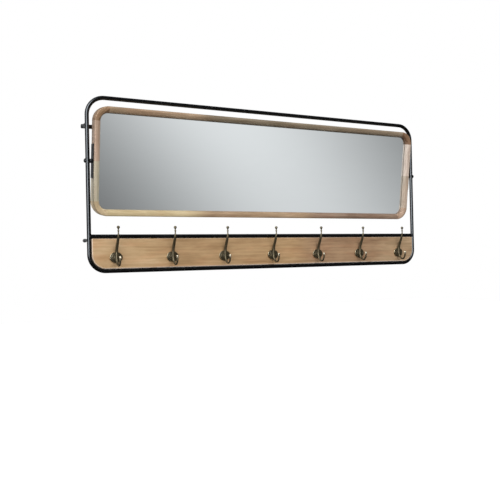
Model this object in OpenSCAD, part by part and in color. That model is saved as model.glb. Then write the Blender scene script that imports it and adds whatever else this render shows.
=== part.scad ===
// Wall mirror with a tube frame, a hook board and a tilting framed mirror.
// Millimetres, +Z up, the wall is the plane Y = 0 and the front looks along -Y.
// The origin lies on the wall, midway between the two wall eyes.

/* [Tube frame] */
// Width of the frame over its tubes
frame_w = 1200; // [900:10:1500]
// Height of the frame over its tubes
frame_h = 504; // [480:2:600]
// Outer diameter of the frame tubes and bars
tube_d = 12; // [11:0.5:14]
// Wall thickness of the tubes
tube_wall = 1.5; // [1:0.25:2]
// Centre-line radius of the two upper bends
top_bend_r = 51; // [35:1:70]
// Centre-line radius of the two lower bends
bottom_bend_r = 47; // [30:1:60]

/* [Wall fixings] */
// Distance from the wall to the centre plane of the frame
stand_off = 48; // [46:1:60]
// Drop of the rear bar below the top tube, axis to axis
rear_bar_drop = 77; // [60:1:110]
// Diameter of the standoff rods
rod_d = 10; // [8:0.5:10.5]
// Distance between the holes of the two wall eyes
eye_spacing = 840; // [400:10:860]
// Diameter of the hole in a wall eye
eye_hole_d = 8; // [5:0.5:10]
// Height of the eye holes above the axis of the rear bar
eye_rise = 17; // [16:1:26]
// Width of a wall eye
eye_w = 22; // [18:1:30]
// Thickness of a wall eye
eye_t = 3; // [2:0.5:4]
// Drop of the foot pegs below the cross bar, axis to axis
foot_drop = 10; // [4:1:60]
// Diameter of the foot pegs
peg_d = 8; // [6:0.5:8.5]
// Outer diameter of a rubber foot
foot_d = 10.5; // [10.5:0.5:18]
// Length of a rubber foot
foot_l = 12; // [9:0.5:16]
// Thickness of rubber between a peg's end and the wall
foot_sole = 4; // [3:0.5:6]
// Radius of the rounded rim of a rubber foot
foot_rim_r = 2; // [1:0.25:2.5]
// Thickness of the flange of an end plug
plug_flange_t = 1.2; // [0.8:0.2:2]
// Depth that an end plug reaches into the rear bar
plug_depth = 8; // [5:1:15]

/* [Hook board] */
// Height of the board
board_h = 85.5; // [76:0.5:110]
// Thickness of the board
board_t = 12; // [11:0.5:16]
// Gap between the board and the tubes round it
board_gap = 0.25; // [0.25:0.25:2]
// Radius of the board's rounded front edges
board_edge_r = 2.5; // [1:0.5:4]
// Number of pairs of fixing tabs behind the board
tab_pairs = 3; // [2:1:5]
// Distance from the board's end to the middle of the first tab
tab_end_gap = 187.75; // [60:0.25:300]
// Width of a tab
tab_w = 22; // [14:1:30]
// Thickness of a tab
tab_t = 2.5; // [1.5:0.5:4]
// Distance that a tab reaches over the board
tab_reach = 16; // [12:1:24]
// Distance from a tab screw to the edge of the board
tab_screw_inset = 9; // [7:0.5:10]

/* [Hooks] */
// Distance from the board's end to the middle of the first hook
hook_end_gap = 68.75; // [40:0.25:200]
// Height of the rosettes above the axis of the bottom tube
rosette_rise = 38; // [36:1:50]
// Width of a rosette
rosette_w = 38; // [33:0.5:42]
// Height of a rosette
rosette_h = 31.5; // [28:0.5:34]
// Thickness of a rosette at its rim
rosette_rim_t = 4; // [3:0.5:5]
// Height of a rosette's dome above its rim
rosette_dome = 2; // [1:0.25:3]
// Forward reach of the upper arm, from the board to the ball's centre
arm_reach = 26; // [20:1:34]
// Height of the upper ball above the rosette's centre
arm_rise = 85; // [78:1:100]
// Height at which the upper arm has turned upright
arm_bend_rise = 68; // [50:1:70]
// Diameter of the arm where it leaves the rosette
arm_root_d = 9; // [6:0.5:9.5]
// Diameter of the upper arm at its neck
arm_neck_d = 4; // [3:0.5:5]
// Diameter of the ball on the upper arm
ball_d = 9; // [7:0.5:12]
// Diameter of the bead below the upper ball
bead_d = 6; // [5.5:0.5:7]
// Distance from the ball's centre down to the bead's centre
bead_drop = 10; // [9:0.5:12]
// Forward reach of the lower prong, from the board to the tip's centre
prong_reach = 39; // [34:1:44]
// Drop of the lower prong's axis below the rosette's centre
prong_drop = 23.5; // [19:0.5:26]
// Diameter of the lower prong below its tip
prong_d = 5.5; // [4:0.5:6.5]
// Diameter of the ball on the lower prong
tip_d = 8; // [7:0.5:10]
// Distance from a hook's centre to each of its screws
hook_screw_x = 12; // [10.5:0.25:13]
// Length of a hook's screws
hook_screw_l = 13; // [10:0.5:14]

/* [Mirror panel] */
// Gap between the frame's side tubes and the mirror panel
side_gap = 10; // [9:0.5:20]
// Gap between the top tube and the upright mirror panel
top_gap = 20; // [12:1:60]
// Gap between the cross bar and the upright mirror panel
bottom_gap = 52; // [40:1:90]
// Forward lean of the panel's top as it hangs, in degrees
rest_tilt = 7.5; // [0:0.5:9]
// Seen width of the wooden rails
rail_w = 19; // [18:0.5:28]
// Depth of the wooden rails from front to back
rail_depth = 29; // [27:1:31]
// Outer radius of the panel's corners
corner_r = 42; // [36:1:60]
// Radius of the rails' rounded outer front edge
rail_edge_r = 4; // [2:0.5:4.5]
// Radius of the rails' rounded inner front edge
rail_lip_r = 13; // [8:0.5:13]
// Distance that the wooden lip covers the mirror
lip_w = 6; // [4:0.5:8]
// Depth of the mirror's face behind the front of the rails
lip_depth = 14.5; // [13.5:0.5:16]
// Thickness of the mirror glass
glass_t = 4; // [3:0.5:5]
// Thickness of the backing board
backing_t = 5; // [3:0.5:6]
// Thickness of the rails' outer wall round the backing board
backing_wall = 6; // [5:0.5:7]
// Gap round the mirror and round the backing board
pane_gap = 0.5; // [0.25:0.25:1]
// Number of backing screws along each long rail
backing_screw_count = 7; // [3:1:9]
// Distance from the end of a long rail to its first backing screw
backing_screw_end_gap = 56; // [30:1:120]
// Distance of a stile's backing screws above and below the pivot
stile_screw_rise = 70; // [60:1:80]
// Diameter of the dowels in the corner joints
dowel_d = 6; // [4:0.5:6]
// Length of a dowel
dowel_l = 24; // [16:1:30]

/* [Pivots] */
// Distance of the pivot axis behind the front of the rails
pivot_setback = 10; // [9:0.5:13]
// Diameter of the pivot bolts
bolt_d = 6; // [5:0.5:6.5]
// Radial play of a pivot bolt in the frame tube
bolt_play = 0.05; // [0.02:0.01:0.09]
// Diameter of a pivot bolt's head
bolt_head_d = 12; // [10:0.5:14]
// Height of a pivot bolt's head
bolt_head_t = 4.5; // [3:0.5:6]
// Clearance between the turning pivot parts and the tube
turn_clearance = 0.3; // [0.2:0.1:0.6]
// Diameter of a pivot spacer
spacer_d = 12; // [10:0.5:14]
// Height of a pivot plate
plate_h = 96; // [80:2:100]
// Width of a pivot plate
plate_w = 20; // [18:1:20]
// Thickness of a pivot plate
plate_t = 2.5; // [2:0.25:3.5]
// Distance of a plate's middle behind the pivot axis
plate_shift = 4; // [2:0.5:4]
// Distance of the plate screws above and below the pivot
plate_screw_z = 36; // [26:1:38]
// Thickness of a pivot nut
nut_t = 3.2; // [2.5:0.1:3.6]

/* [Screws] */
// Shank diameter of the wood screws
screw_d = 3.5; // [3:0.25:4]
// Head diameter of the wood screws
screw_head_d = 5.6; // [5:0.2:6]
// Head height of the wood screws
screw_head_t = 1.8; // [1.2:0.2:2.4]
// Length of a wood screw below its head
screw_l = 10; // [8:0.5:10]

/* [Hidden] */
$fn = 96;

// A cut runs this much past the face that it opens
cut = 1;
tube_r = tube_d / 2;

// Places of the tubes' axes
side_x = frame_w / 2 - tube_r;
frame_y = -stand_off;
rear_bar_y = -tube_r;
rear_bar_z = -eye_rise;
top_z = rear_bar_z + rear_bar_drop;
bottom_z = top_z - frame_h + tube_d;
cross_z = bottom_z + tube_d + board_h + 2 * board_gap;
foot_z = cross_z - foot_drop;
rear_bar_l = 2 * side_x + rod_d - 2 * plug_flange_t;

// The board lies between the tubes, with its back flush with their backs
board_back_y = frame_y + tube_r;
board_front_y = board_back_y - board_t;
board_bottom_z = bottom_z + tube_r + board_gap;
board_top_z = board_bottom_z + board_h;
board_half_w = side_x - tube_r - board_gap;
board_corner_r = bottom_bend_r - tube_r - board_gap;
tab_over = 2;
tab_pitch = 2 * (board_half_w - tab_end_gap) / (tab_pairs - 1);
tab_xs = [for (i = [0:tab_pairs - 1]) tab_end_gap - board_half_w + i * tab_pitch];
rosette_z = bottom_z + rosette_rise;

// The panel fills the frame above the cross bar, apart from its gaps
panel_w = frame_w - 2 * tube_d - 2 * side_gap;
panel_h = top_z - cross_z - tube_d - top_gap - bottom_gap;
panel_x = panel_w / 2;
panel_z = panel_h / 2;
pivot_z = cross_z + tube_r + bottom_gap + panel_z;

// Depths in the panel, measured back from the pivot axis
front_y = -pivot_setback;
glass_y = front_y + lip_depth;
backing_y = glass_y + glass_t;
backing_back_y = backing_y + backing_t;
back_y = front_y + rail_depth;

// Places across a rail, measured in from its outer edge
glass_seat = rail_w - lip_w;
backing_screw_inset = (backing_wall + glass_seat) / 2;
dowel_inset = glass_seat / 2;
dowel_y = (front_y + backing_y) / 2;
rail_half_l = panel_x - corner_r;
stile_half_l = panel_z - corner_r;
backing_screw_pitch = 2 * (rail_half_l - backing_screw_end_gap) / (backing_screw_count - 1);

// A pivot's parts, measured out from the panel's edge
spacer_l = side_gap - plate_t - turn_clearance;
head_seat = side_gap + tube_d + turn_clearance;
nut_d = bolt_d * 1.9;
nut_play = 0.3;
plate_screw_y = -2;

// The dome of a bolt's head rises from a low rim
head_rim_t = bolt_head_t / 3;
dome_rise = bolt_head_t - head_rim_t;
dome_r = (pow(bolt_head_d / 2, 2) + pow(dome_rise, 2)) / (2 * dome_rise);

// The hook's casting, in forward reach and height from the rosette's centre
rosette_t = rosette_rim_t + rosette_dome;
rosette_ease = 1;
rosette_sides = 36;
hook_screw_seat = rosette_rim_t + 0.5;
spine_reach = max(rosette_t, arm_root_d / 2 + 1) + 0.5;
spine_top = 12;
spine_bottom = -4;
hook_count = 7;
hook_pitch = 2 * (board_half_w - hook_end_gap) / (hook_count - 1);
prong_swing = 0.8;

// The arm keeps its girth low down and thins out towards its neck
arm_thinning = 4;
hook_sides = 12;
arm_rings = 16;
prong_rings = 14;

// ---------------------------------------------------------------- tube frame

// A bend of the tube loop, a quarter turn in the frame's plane
module bend(x, z, centre_r, r, turn) {
    translate([x, frame_y, z]) rotate([90, turn, 0])
        rotate_extrude(angle = 90) translate([centre_r, 0]) circle(r = r);
}

module bar_x(length, r, y, z) {
    translate([0, y, z]) rotate([0, 90, 0]) cylinder(h = length, r = r, center = true);
}

module side_tube_space(r) {
    for (side = [-1, 1])
        translate([side * side_x, frame_y, bottom_z]) cylinder(h = top_z - bottom_z, r = r);
}

module tube_loop(r) {
    bar_x(2 * (side_x - top_bend_r), r, frame_y, top_z);
    bar_x(2 * (side_x - bottom_bend_r), r, frame_y, bottom_z);
    for (side = [-1, 1])
        translate([side * side_x, frame_y, bottom_z + bottom_bend_r])
            cylinder(h = top_z - bottom_z - top_bend_r - bottom_bend_r, r = r);
    bend(side_x - top_bend_r, top_z - top_bend_r, top_bend_r, r, 0);
    bend(-side_x + top_bend_r, top_z - top_bend_r, top_bend_r, r, -90);
    bend(-side_x + bottom_bend_r, bottom_z + bottom_bend_r, bottom_bend_r, r, 180);
    bend(side_x - bottom_bend_r, bottom_z + bottom_bend_r, bottom_bend_r, r, 90);
}

module tube_frame() {
    color("#17181a") difference() {
        tube_loop(tube_r);
        tube_loop(tube_r - tube_wall);
        for (side = [-1, 1]) translate([side * side_x, frame_y, pivot_z]) rotate([0, 90, 0])
            cylinder(h = tube_d + 2 * cut, r = bolt_d / 2 + bolt_play, center = true);
    }
}

// The cross bar's ends are coped to the side tubes
module cross_bar() {
    color("#17181a") difference() {
        bar_x(2 * side_x, tube_r, frame_y, cross_z);
        bar_x(2 * side_x + cut, tube_r - tube_wall, frame_y, cross_z);
        side_tube_space(tube_r);
    }
}

// -------------------------------------------------------------- wall fixings

module rear_bar() {
    color("#17181a") difference() {
        bar_x(rear_bar_l, tube_r, rear_bar_y, rear_bar_z);
        bar_x(rear_bar_l + 2 * cut, tube_r - tube_wall, rear_bar_y, rear_bar_z);
    }
}

module rear_bar_plugs() {
    color("#0e0e0f") for (side = [-1, 1])
        translate([side * rear_bar_l / 2, rear_bar_y, rear_bar_z]) rotate([0, side * 90, 0]) {
            cylinder(h = plug_flange_t, r = tube_r);
            translate([0, 0, -plug_depth]) cylinder(h = plug_depth, r = tube_r - tube_wall);
        }
}

// A rod behind each side tube, coped to the tube in front of it
module rear_rods(d, z, end_y) {
    difference() {
        for (side = [-1, 1]) translate([side * side_x, end_y, z]) rotate([90, 0, 0])
            cylinder(h = end_y - frame_y, d = d);
        side_tube_space(tube_r);
    }
}

module bar_standoffs() {
    color("#17181a") difference() {
        rear_rods(rod_d, rear_bar_z, rear_bar_y);
        bar_x(rear_bar_l + 2 * tube_d, tube_r, rear_bar_y, rear_bar_z);
    }
}

// Flat eyes that stand on the rear bar, with their backs on the wall
module wall_eyes() {
    color("#17181a") difference() {
        for (side = [-1, 1]) translate([side * eye_spacing / 2, 0, 0]) rotate([90, 0, 0]) {
            cylinder(h = eye_t, r = eye_w / 2);
            translate([-eye_w / 2, rear_bar_z + eye_t, 0])
                cube([eye_w, eye_rise - eye_t, eye_t]);
        }
        bar_x(rear_bar_l, tube_r, rear_bar_y, rear_bar_z);
        for (side = [-1, 1]) translate([side * eye_spacing / 2, cut, 0]) rotate([90, 0, 0])
            cylinder(h = eye_t + 2 * cut, r = eye_hole_d / 2);
    }
}

module foot_pegs() {
    color("#17181a") rear_rods(peg_d, foot_z, -foot_sole);
}

module rubber_feet() {
    color("#101011") for (side = [-1, 1])
        translate([side * side_x, 0, foot_z]) rotate([90, 0, 0]) difference() {
            rotate_extrude() {
                translate([0, foot_rim_r]) square([foot_d / 2, foot_l - foot_rim_r]);
                square([foot_d / 2 - foot_rim_r, foot_rim_r]);
                translate([foot_d / 2 - foot_rim_r, foot_rim_r]) circle(r = foot_rim_r);
            }
            translate([0, 0, foot_sole]) cylinder(h = foot_l, d = peg_d);
        }
}

// ---------------------------------------------------------------- hook board

// What a rounding of radius r takes off a square corner at the origin
module corner_off(r) {
    difference() {
        translate([-cut, -cut]) square(r + cut);
        translate([r, r]) circle(r = r);
    }
}

// Rounds the front edges of the board, along its sides and round its corners
module board_edge_cut() {
    r = board_edge_r;
    straight_w = 2 * (board_half_w - board_corner_r);
    side_h = board_h - board_corner_r;
    translate([0, board_front_y, board_top_z]) rotate([0, 90, 0])
        linear_extrude(2 * board_half_w + 2 * cut, center = true) corner_off(r);
    translate([0, board_front_y, board_bottom_z]) rotate([0, 90, 0])
        linear_extrude(straight_w, center = true) mirror([1, 0]) corner_off(r);
    for (side = [0, 1]) mirror([side, 0, 0]) {
        translate([-board_half_w, board_front_y, board_bottom_z + board_corner_r])
            linear_extrude(side_h + cut) corner_off(r);
        translate([board_half_w - board_corner_r, board_front_y, board_bottom_z + board_corner_r])
            rotate([-90, 0, 0]) rotate_extrude(angle = 90)
                translate([board_corner_r, 0]) mirror([1, 0]) corner_off(r);
    }
}

module board_blank() {
    side_h = board_h - board_corner_r;
    translate([0, board_back_y, board_bottom_z]) rotate([90, 0, 0]) linear_extrude(board_t) {
        translate([-board_half_w, board_corner_r]) square([2 * board_half_w, side_h]);
        translate([-board_half_w + board_corner_r, 0])
            square([2 * (board_half_w - board_corner_r), board_corner_r]);
        for (side = [-1, 1]) translate([side * (board_half_w - board_corner_r), board_corner_r])
            circle(r = board_corner_r);
    }
}

module hook_board() {
    color("#b58f63") difference() {
        board_blank();
        board_edge_cut();
        hook_screw_set();
        board_screw_set();
    }
}

module at_tabs() {
    for (x = tab_xs) {
        translate([x, board_back_y, board_top_z]) children();
        translate([x, board_back_y, board_bottom_z]) mirror([0, 0, 1]) children();
    }
}

// Flat tabs welded to the backs of the cross bar and the bottom tube
module board_tabs() {
    tab_h = tab_reach + board_gap + tube_r + tab_over;
    color("#17181a") difference() {
        at_tabs() translate([-tab_w / 2, 0, -tab_reach]) cube([tab_w, tab_t, tab_h]);
        board_screw_set();
    }
}

module board_screw_set() {
    at_tabs() translate([0, tab_t, -tab_screw_inset]) rotate([90, 0, 0]) {
        cylinder(h = screw_l, r = screw_d / 2);
        translate([0, 0, -screw_head_t]) cylinder(h = screw_head_t, r = screw_head_d / 2);
    }
}

module board_screws() {
    color("#2b2b2c") board_screw_set();
}

// --------------------------------------------------------------------- hooks

function smooth(t) = let (u = min(max(t, 0), 1)) u * u * (3 - 2 * u);
function mix(a, b, t) = a + (b - a) * t;

// Axis of the casting as [forward reach, height, radius], from the upper ball to the tip
function arm_axis() = [
    for (k = [0:arm_rings - 1])
        let (z = mix(arm_rise, spine_top, k / arm_rings),
             lean = smooth((z - spine_top) / (arm_bend_rise - spine_top)),
             neck = min((z - spine_top) / (arm_bend_rise - spine_top), 1))
        [mix(spine_reach, arm_reach, lean), z,
         mix(arm_root_d, arm_neck_d, pow(neck, arm_thinning)) / 2]
];

// The prong makes half a turn, whose lowest point a swing below 1 carries forward
function prong_axis() = [
    for (k = [0:prong_rings])
        let (turn = 180 * k / prong_rings,
             forward = pow((1 - cos(turn)) / 2, prong_swing))
        [mix(spine_reach, prong_reach, forward),
         spine_bottom - (prong_drop + spine_bottom) * sin(turn),
         mix(arm_root_d, prong_d, min(2 * k / prong_rings, 1)) / 2]
];
hook_axis = concat(
    arm_axis(),
    [[spine_reach, spine_top, arm_root_d / 2]],
    prong_axis(),
    [[prong_reach, 0, prong_d / 2]]
);

// Points of the swept tube: each ring stands square to the axis, which lies in the YZ plane
function axis_along(k) =
    let (a = hook_axis[max(k - 1, 0)], b = hook_axis[min(k + 1, len(hook_axis) - 1)],
         d = [b[0] - a[0], b[1] - a[1]])
    d / norm(d);
function ring(k) =
    let (p = hook_axis[k], d = axis_along(k))
    [for (s = [0:hook_sides - 1])
        let (w = 360 * s / hook_sides, out = p[2] * sin(w))
        [p[2] * cos(w), -(p[0] + out * d[1]), p[1] - out * d[0]]];

module hook_sweep() {
    n = hook_sides;
    last = len(hook_axis) - 1;
    points = [for (k = [0:last]) each ring(k)];
    walls = [
        for (k = [0:last - 1], s = [0:n - 1])
            let (a = k * n + s, b = k * n + (s + 1) % n)
            each [[a, b, a + n], [b, b + n, a + n]]
    ];
    caps = [[for (s = [n - 1:-1:0]) s], [for (s = [0:n - 1]) last * n + s]];
    polyhedron(points, concat(walls, caps));
}

// An oval plate with an eased rim and a domed face, its back on the board
module rosette() {
    r = rosette_h / 2;
    dome_r = r - rosette_ease;
    resize([rosette_w, 0, 0]) rotate([90, 0, 0]) rotate_extrude($fn = rosette_sides) polygon([
        [0, 0],
        [r, 0],
        [r, rosette_rim_t - rosette_ease],
        [dome_r, rosette_rim_t],
        [dome_r * 0.75, mix(rosette_rim_t, rosette_t, 0.45)],
        [dome_r * 0.4, mix(rosette_rim_t, rosette_t, 0.85)],
        [0, rosette_t]
    ]);
}

function hook_x(i) = hook_end_gap - board_half_w + (i - 1) * hook_pitch;

module at_hook(i) {
    translate([hook_x(i), board_front_y, rosette_z]) children();
}

// A hook's two countersunk screws, with their heads sunk in the rosette
module hook_screw_pair() {
    for (side = [-1, 1]) translate([side * hook_screw_x, 0, 0]) rotate([-90, 0, 0]) {
        translate([0, 0, -hook_screw_seat]) {
            cylinder(h = hook_screw_l, r = screw_d / 2);
            cylinder(h = screw_head_t, r1 = screw_head_d / 2, r2 = screw_d / 2);
        }
    }
}

module hook_screw_set() {
    for (i = [1:hook_count]) at_hook(i) hook_screw_pair();
}

module hook_screws() {
    color("#8a7444") hook_screw_set();
}

module hook(i) {
    color("#6d5c38") at_hook(i) difference() {
        union() {
            rosette();
            hook_sweep();
            translate([0, -arm_reach, arm_rise]) sphere(d = ball_d);
            translate([0, -arm_reach, arm_rise - bead_drop]) sphere(d = bead_d);
            translate([0, -prong_reach, 0]) sphere(d = tip_d);
        }
        hook_screw_pair();
        for (side = [-1, 1]) translate([side * hook_screw_x, -hook_screw_seat, 0])
            rotate([90, 0, 0]) cylinder(h = rosette_dome + cut, r = screw_head_d / 2, $fn = 32);
    }
}

// -------------------------------------------------------------- mirror panel

// Moves a piece from the panel's own frame, upright about its pivot axis, to its place
module hung() {
    translate([0, frame_y, pivot_z]) rotate([rest_tilt, 0, 0]) children();
}

// Section of a rail: x runs in from its outer edge and y runs back from the pivot axis
module rail_section() {
    difference() {
        polygon([
            [0, front_y], [rail_w, front_y], [rail_w, glass_y], [glass_seat, glass_y],
            [glass_seat, backing_y], [backing_wall, backing_y], [backing_wall, back_y], [0, back_y]
        ]);
        translate([0, front_y]) corner_off(rail_edge_r);
        translate([rail_w, front_y]) mirror([1, 0]) corner_off(rail_lip_r);
    }
}

module rail_stock(length) {
    linear_extrude(length, center = true) rail_section();
}

module dowel_set() {
    for (sx = [-1, 1], sz = [-1, 1]) {
        translate([sx * (panel_x - dowel_inset), dowel_y, sz * stile_half_l])
            cylinder(h = dowel_l, d = dowel_d, center = true);
        translate([sx * rail_half_l, dowel_y, sz * (panel_z - dowel_inset)])
            rotate([0, 90, 0]) cylinder(h = dowel_l, d = dowel_d, center = true);
    }
}

// Places of the backing screws, all round the panel
backing_screw_places = concat(
    [for (i = [0:backing_screw_count - 1], sz = [-1, 1])
        [backing_screw_end_gap - rail_half_l + i * backing_screw_pitch,
         sz * (panel_z - backing_screw_inset)]],
    [for (sx = [-1, 1], sz = [-1, 1])
        [sx * (panel_x - backing_screw_inset), sz * stile_screw_rise]]
);

module backing_screw_set() {
    for (p = backing_screw_places) translate([p[0], backing_back_y, p[1]]) rotate([90, 0, 0]) {
        cylinder(h = screw_l, r = screw_d / 2);
        translate([0, 0, -screw_head_t]) cylinder(h = screw_head_t, r = screw_head_d / 2);
    }
}

module rail(side) {
    color("#b79873") hung() difference() {
        mirror([0, 0, side > 0 ? 0 : 1]) translate([0, 0, panel_z]) rotate([0, 90, 0])
            rail_stock(2 * rail_half_l);
        dowel_set();
        backing_screw_set();
    }
}

// A stile carries the pivot plate: it has a pocket for the nut and holes for the screws
module stile(side) {
    color("#c2a483") hung() difference() {
        mirror([side > 0 ? 1 : 0, 0, 0]) translate([-panel_x, 0, 0])
            rail_stock(2 * stile_half_l);
        dowel_set();
        backing_screw_set();
        pivot_axis(side) translate([0, 0, -nut_t - nut_play])
            cylinder(h = nut_t + nut_play + cut, d = nut_d + 2 * nut_play);
        plate_screw_pair(side);
    }
}

// A quarter ring of the rail's section, from the lower right corner
module corner_block(flip_x, flip_z) {
    color("#a07c58") hung() difference() {
        mirror([flip_x, 0, 0]) mirror([0, 0, flip_z])
            translate([rail_half_l, 0, -stile_half_l]) rotate([-90, 0, 0])
                rotate_extrude(angle = 90) translate([corner_r, 0]) mirror([1, 0]) rail_section();
        dowel_set();
    }
}

module frame_dowels() {
    color("#c9ab80") hung() dowel_set();
}

// A flat pane with rounded corners, inset from the panel's outer edge
module pane(inset, y, t) {
    w = panel_w - 2 * inset;
    h = panel_h - 2 * inset;
    r = corner_r - inset;
    translate([0, y + t, 0]) rotate([90, 0, 0]) linear_extrude(t) {
        square([w - 2 * r, h], center = true);
        square([w, h - 2 * r], center = true);
        for (sx = [-1, 1], sz = [-1, 1]) translate([sx * (w / 2 - r), sz * (h / 2 - r)])
            circle(r = r);
    }
}

module mirror_glass() {
    color("#b9c1c6") hung() pane(glass_seat + pane_gap, glass_y, glass_t);
}

module backing_board() {
    color("#8a6f52") hung() difference() {
        pane(backing_wall + pane_gap, backing_y, backing_t);
        backing_screw_set();
    }
}

module backing_screws() {
    color("#8f9092") hung() backing_screw_set();
}

// -------------------------------------------------------------------- pivots

// The pivot axis at one side: +Z points out of the panel from its edge
module pivot_axis(side) {
    translate([side * panel_x, 0, 0]) rotate([0, side * 90, 0]) children();
}

module plate_screw_pair(side) {
    for (end = [-1, 1]) translate([side * (panel_x + plate_t), plate_screw_y, end * plate_screw_z])
        rotate([0, -side * 90, 0]) {
            cylinder(h = screw_l, r = screw_d / 2);
            cylinder(h = screw_head_t, r1 = screw_head_d / 2, r2 = screw_d / 2);
        }
}

module pivot_plate(side) {
    color("#1b1c1e") hung() difference() {
        translate([side * (panel_x + plate_t / 2), plate_shift, 0])
            cube([plate_t, plate_w, plate_h], center = true);
        pivot_axis(side) translate([0, 0, -cut]) cylinder(h = plate_t + 2 * cut, d = bolt_d);
        plate_screw_pair(side);
    }
}

module plate_screws() {
    color("#2b2b2c") hung() for (side = [-1, 1]) plate_screw_pair(side);
}

// A round-headed bolt through the side tube, the spacer and the plate into the nut
module pivot_bolt(side) {
    color("#222325") hung() pivot_axis(side) {
        translate([0, 0, -nut_t]) cylinder(h = head_seat + nut_t, d = bolt_d);
        translate([0, 0, head_seat]) rotate_extrude() {
            square([bolt_head_d / 2, head_rim_t]);
            intersection() {
                square([bolt_head_d / 2, bolt_head_t]);
                translate([0, bolt_head_t - dome_r]) circle(r = dome_r);
            }
        }
    }
}

module pivot_spacer(side) {
    color("#1b1c1e") hung() pivot_axis(side) translate([0, 0, plate_t]) difference() {
        cylinder(h = spacer_l, d = spacer_d);
        translate([0, 0, -cut]) cylinder(h = spacer_l + 2 * cut, d = bolt_d);
    }
}

module pivot_nuts() {
    color("#8f9092") hung() for (side = [-1, 1]) pivot_axis(side) translate([0, 0, -nut_t])
        difference() {
            cylinder(h = nut_t, d = nut_d, $fn = 6);
            translate([0, 0, -cut]) cylinder(h = nut_t + 2 * cut, d = bolt_d);
        }
}

// ---------------------------------------------------------------- the object

tube_frame();
cross_bar();
rear_bar();
rear_bar_plugs();
bar_standoffs();
wall_eyes();
foot_pegs();
rubber_feet();
hook_board();
board_tabs();
board_screws();
hook(1);  // hook_1
hook(2);  // hook_2
hook(3);  // hook_3
hook(4);  // hook_4
hook(5);  // hook_5
hook(6);  // hook_6
hook(7);  // hook_7
hook_screws();
rail(1);  // top_rail
rail(-1);  // bottom_rail
stile(-1);  // left_stile
stile(1);  // right_stile
corner_block(1, 1);  // corner_top_left
corner_block(0, 1);  // corner_top_right
corner_block(1, 0);  // corner_bottom_left
corner_block(0, 0);  // corner_bottom_right
frame_dowels();
mirror_glass();
backing_board();
backing_screws();
pivot_plate(-1);  // left_pivot_plate
pivot_plate(1);  // right_pivot_plate
plate_screws();
pivot_bolt(-1);  // left_pivot_bolt
pivot_bolt(1);  // right_pivot_bolt
pivot_spacer(-1);  // left_pivot_spacer
pivot_spacer(1);  // right_pivot_spacer
pivot_nuts();
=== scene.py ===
"""A wall mirror on a bent tube frame, with a board of coat hooks below it."""

import math

import bpy
from mathutils import Matrix, Vector


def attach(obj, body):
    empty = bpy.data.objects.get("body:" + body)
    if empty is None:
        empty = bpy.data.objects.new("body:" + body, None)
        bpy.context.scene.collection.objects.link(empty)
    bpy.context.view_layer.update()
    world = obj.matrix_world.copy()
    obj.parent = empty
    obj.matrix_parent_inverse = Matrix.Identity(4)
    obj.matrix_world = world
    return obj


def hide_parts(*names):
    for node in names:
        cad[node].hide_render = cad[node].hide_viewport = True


MM = 0.001
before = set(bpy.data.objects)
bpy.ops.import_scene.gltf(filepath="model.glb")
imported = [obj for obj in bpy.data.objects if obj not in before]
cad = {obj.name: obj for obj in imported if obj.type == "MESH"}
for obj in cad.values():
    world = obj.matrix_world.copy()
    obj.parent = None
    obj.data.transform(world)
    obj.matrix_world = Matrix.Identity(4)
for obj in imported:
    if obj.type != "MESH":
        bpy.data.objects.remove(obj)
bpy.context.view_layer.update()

# ------------------------------------------------------------ sizes, in millimetres

SIDE_TUBE_X = 594
FRAME_Y = -48
TUBE_R = 6
ROD_R = 5
PEG_R = 4
CROSS_BAR_Z = -334
BOTTOM_TUBE_Z = -432
REAR_BAR_Y = -6
REAR_BAR_Z = -17
FOOT_PEG_Z = -344
EYE_X = 420
EYE_HALF_W = 11
BOARD_BACK_Y = -42
BOARD_FRONT_Y = -54
BOARD_TOP_Z = -340.25
BOARD_BOTTOM_Z = -425.75
BOARD_HALF_W = 587.75
BOARD_CORNER_R = 40.75
TAB_X = (-400, 0, 400)
TAB_HALF_W = 11
TAB_T = 2.5
HOOK_GAP = 173
HOOK_X = tuple(HOOK_GAP * i for i in range(-3, 4))
HOOK_Z = -394
PRONG_REACH = 39
PIVOT_Z = -121
PANEL_HALF_W = 578
PANEL_HALF_H = 155
PANEL_LEAN = 7.5  # degrees
PANE_FACE_Y = 4.5  # behind the pivots' line
PANE_OPENING = (559, 136, 23)  # half width, half height and corner radius of the lip


def mm(*values):
    """A point or a distance in metres."""
    return Vector(values) * MM if len(values) > 1 else values[0] * MM


def srgb(r, g, b):
    """A colour as a paint card gives it, 0 to 255, in Blender's own linear values."""
    def linear(c):
        c /= 255
        return c / 12.92 if c <= 0.04045 else ((c + 0.055) / 1.055) ** 2.4
    return (linear(r), linear(g), linear(b), 1.0)


# ------------------------------------------------------------------------ workbench

def clear_bench():
    if bpy.context.object and bpy.context.object.mode != "OBJECT":
        bpy.ops.object.mode_set(mode="OBJECT")
    bpy.ops.object.select_all(action="DESELECT")


def take_up(piece):
    clear_bench()
    piece.select_set(True)
    bpy.context.view_layer.objects.active = piece


def name_piece(piece, name):
    piece.name = name
    piece.data.name = name
    return piece


def open_mesh(piece):
    take_up(piece)
    bpy.ops.object.mode_set(mode="EDIT")
    bpy.ops.mesh.select_mode(type="VERT")


def close_mesh():
    bpy.ops.object.mode_set(mode="OBJECT")


def open_merged(piece):
    """Opens a mesh, selects all of it, and merges what lies in one place."""
    open_mesh(piece)
    bpy.ops.mesh.select_all(action="SELECT")
    bpy.ops.mesh.remove_doubles(threshold=1e-6)


def faces_out(piece):
    open_merged(piece)
    bpy.ops.mesh.normals_make_consistent(inside=False)
    close_mesh()


def apply_last(piece, kind, **settings):
    """Adds a modifier with these settings and applies it."""
    take_up(piece)
    modifier = piece.modifiers.new(kind.title(), kind)
    for setting, value in settings.items():
        setattr(modifier, setting, value)
    bpy.ops.object.modifier_apply(modifier=modifier.name)


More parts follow.
